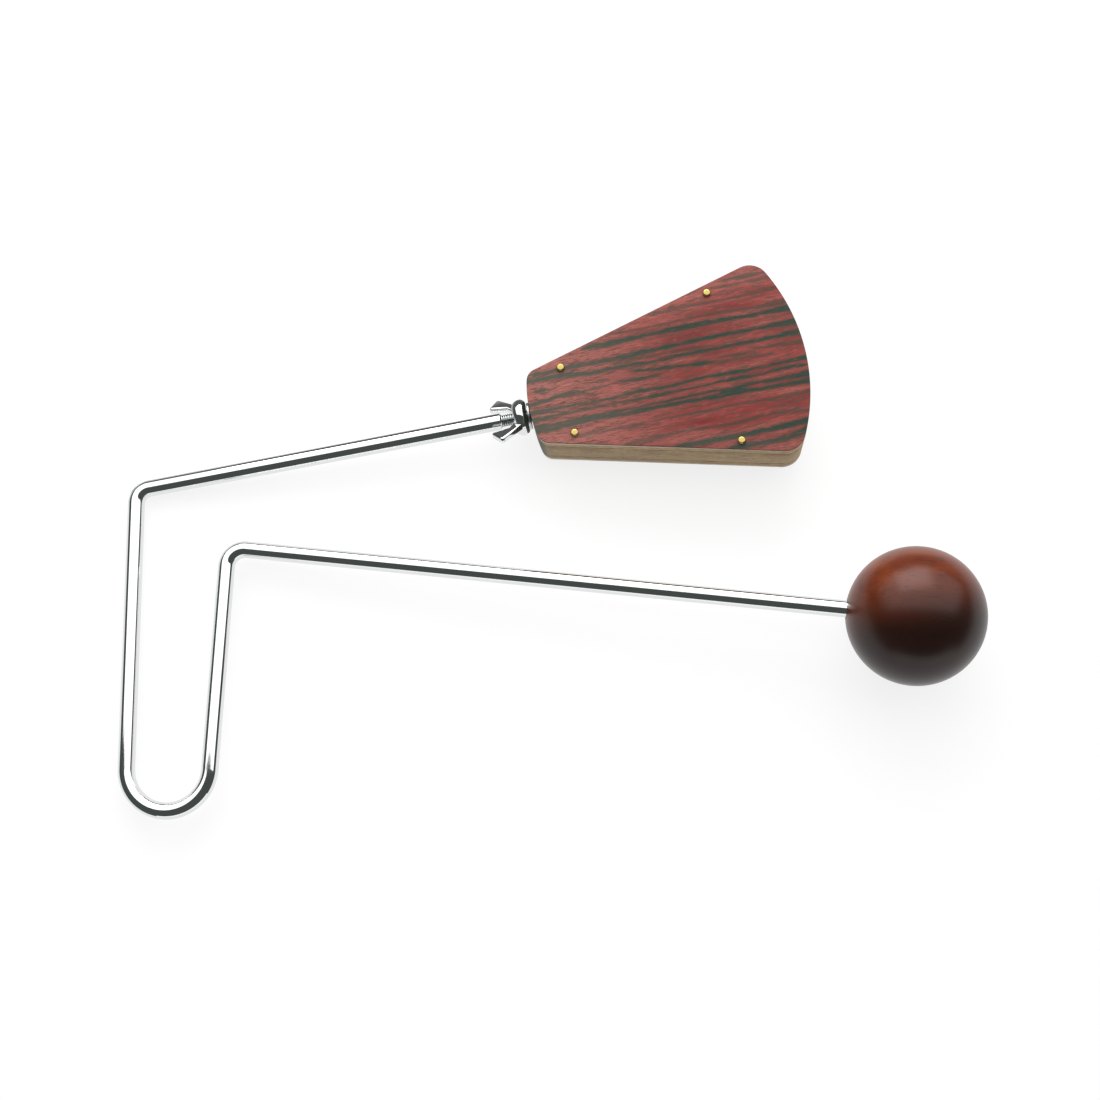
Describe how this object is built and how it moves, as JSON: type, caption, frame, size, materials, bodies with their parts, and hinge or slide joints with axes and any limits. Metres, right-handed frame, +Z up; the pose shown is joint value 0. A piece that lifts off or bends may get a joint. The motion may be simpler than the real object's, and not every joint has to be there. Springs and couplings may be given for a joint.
{
  "type": "vibraslap",
  "caption": "Rattle clacker: a bent chromed rod joins a wooden ball to a wedge-shaped wooden box of loose rivets that rattle when the ball is struck.",
  "frame": {"origin": "on the table under the middle of the whole object as it lies at rest on its back cover side", "axes": "+Z up out of the table and out of the front cover, +X along the length from the grip towards the ball, +Y across from the ball's arm towards the box"},
  "size_m": [0.3758, 0.241, 0.06],
  "materials": {
    "chrome": "bright chrome plate on steel",
    "zinc_steel": "zinc-plated steel",
    "plate_steel": "rolled steel sheet, lightly oiled",
    "rivet_steel": "plain cold-headed steel",
    "brass": "polished brass",
    "stained_wood": "dark red-brown stain under satin lacquer",
    "plain_wood": "sanded, sealed hardwood",
    "veneer": "red and dark green striped dyed veneer, satin lacquer"
  },
  "bodies": {
    "rod": {"rod": "chrome", "ball": "stained_wood", "inner_washer": "zinc_steel", "inner_nut": "zinc_steel"},
    "washer": {"washer": "zinc_steel"},
    "wing_nut": {"wing_nut": "chrome"},
    "box": {"box_frame": "plain_wood", "front_cover": "veneer", "back_cover": "veneer", "rattle_plate": "plate_steel", "front_pin_1": "brass", "front_pin_2": "brass", "front_pin_3": "brass", "front_pin_4": "brass", "back_pin_1": "brass", "back_pin_2": "brass", "back_pin_3": "brass", "back_pin_4": "brass"},
    "rivet_01": {"rivet_01": "rivet_steel"},
    "rivet_02": {"rivet_02": "rivet_steel"},
    "rivet_03": {"rivet_03": "rivet_steel"},
    "rivet_04": {"rivet_04": "rivet_steel"},
    "rivet_05": {"rivet_05": "rivet_steel"},
    "rivet_06": {"rivet_06": "rivet_steel"},
    "rivet_07": {"rivet_07": "rivet_steel"},
    "rivet_08": {"rivet_08": "rivet_steel"},
    "rivet_09": {"rivet_09": "rivet_steel"},
    "rivet_10": {"rivet_10": "rivet_steel"}
  },
  "joints": [
    {"name": "washer_slide", "type": "slide", "parent": "rod", "child": "washer", "axis": [-0.9827, -0.1742, -0.0631], "range_m": [0, 0.0045]},
    {"name": "wing_nut_turn", "type": "hinge", "parent": "washer", "child": "wing_nut", "pos_m": [-0.00468, 0.05741, 0.01513], "axis": [-0.9827, -0.1742, -0.0631], "range_deg": [0, 1620]},
    {"name": "box_turn", "type": "hinge", "parent": "rod", "child": "box", "pos_m": [-0.00468, 0.05741, 0.01513], "axis": [0.9827, 0.1742, 0.0631], "range_deg": [-180, 180]},
    {"name": "rivet_01_jump", "type": "slide", "parent": "box", "child": "rivet_01", "axis": [-0.0705, 0.0363, 0.9969], "range_m": [0, 0.005]},
    {"name": "rivet_02_jump", "type": "slide", "parent": "box", "child": "rivet_02", "axis": [-0.0705, 0.0363, 0.9969], "range_m": [0, 0.005]},
    {"name": "rivet_03_jump", "type": "slide", "parent": "box", "child": "rivet_03", "axis": [-0.0705, 0.0363, 0.9969], "range_m": [0, 0.005]},
    {"name": "rivet_04_jump", "type": "slide", "parent": "box", "child": "rivet_04", "axis": [-0.0705, 0.0363, 0.9969], "range_m": [0, 0.005]},
    {"name": "rivet_05_jump", "type": "slide", "parent": "box", "child": "rivet_05", "axis": [-0.0705, 0.0363, 0.9969], "range_m": [0, 0.005]},
    {"name": "rivet_06_jump", "type": "slide", "parent": "box", "child": "rivet_06", "axis": [-0.0705, 0.0363, 0.9969], "range_m": [0, 0.005]},
    {"name": "rivet_07_jump", "type": "slide", "parent": "box", "child": "rivet_07", "axis": [-0.0705, 0.0363, 0.9969], "range_m": [0, 0.005]},
    {"name": "rivet_08_jump", "type": "slide", "parent": "box", "child": "rivet_08", "axis": [-0.0705, 0.0363, 0.9969], "range_m": [0, 0.005]},
    {"name": "rivet_09_jump", "type": "slide", "parent": "box", "child": "rivet_09", "axis": [-0.0705, 0.0363, 0.9969], "range_m": [0, 0.005]},
    {"name": "rivet_10_jump", "type": "slide", "parent": "box", "child": "rivet_10", "axis": [-0.0705, 0.0363, 0.9969], "range_m": [0, 0.005]}
  ],
  "couplings": [
    {"joint": "washer_slide", "follows": "wing_nut_turn", "m_per_rad": 0.00015915}
  ]
}
